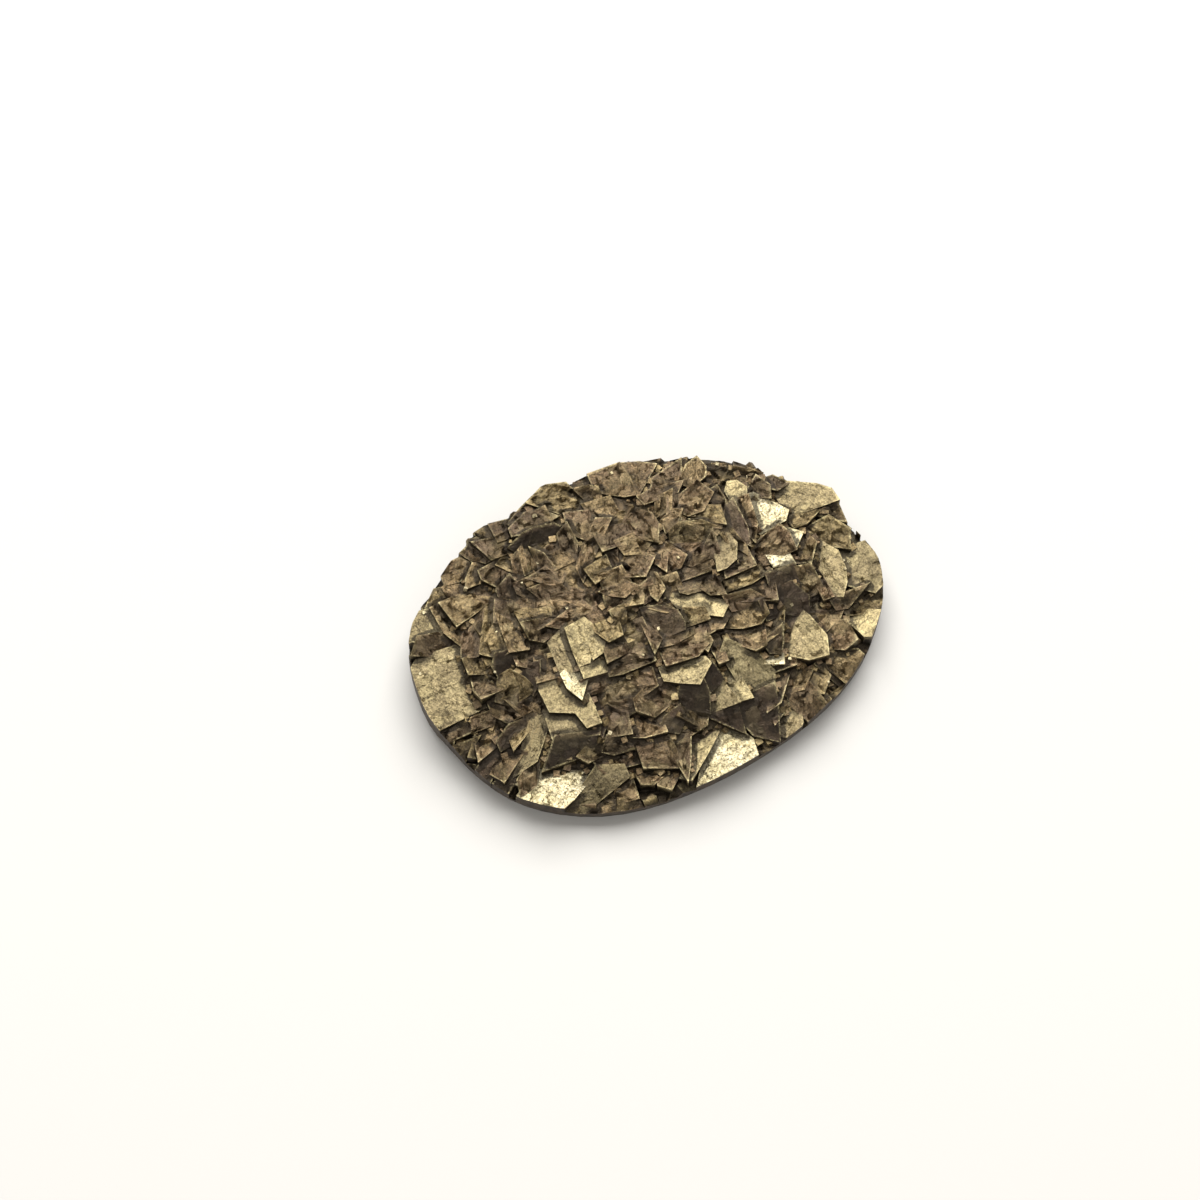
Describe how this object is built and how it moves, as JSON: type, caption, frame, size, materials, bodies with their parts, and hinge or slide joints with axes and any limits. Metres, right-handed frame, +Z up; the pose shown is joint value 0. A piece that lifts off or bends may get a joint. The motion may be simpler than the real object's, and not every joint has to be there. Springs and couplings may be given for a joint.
{
  "type": "pyrite druse",
  "caption": "Oval slice of natural pyrite druse: a crust of intergrown metallic cube crystals on a ground oval base with a flat sawn back.",
  "frame": {"origin": "middle of the sawn back, on the surface that the stone lies on", "axes": "+X along the long axis of the oval, +Z up out of the crystal crust"},
  "size_m": [0.0314, 0.0226, 0.0055],
  "materials": {
    "pyrite": "natural crystal faces with brown-olive tarnish"
  },
  "bodies": {
    "root": {"pyrite_druse": "pyrite"}
  },
  "joints": []
}
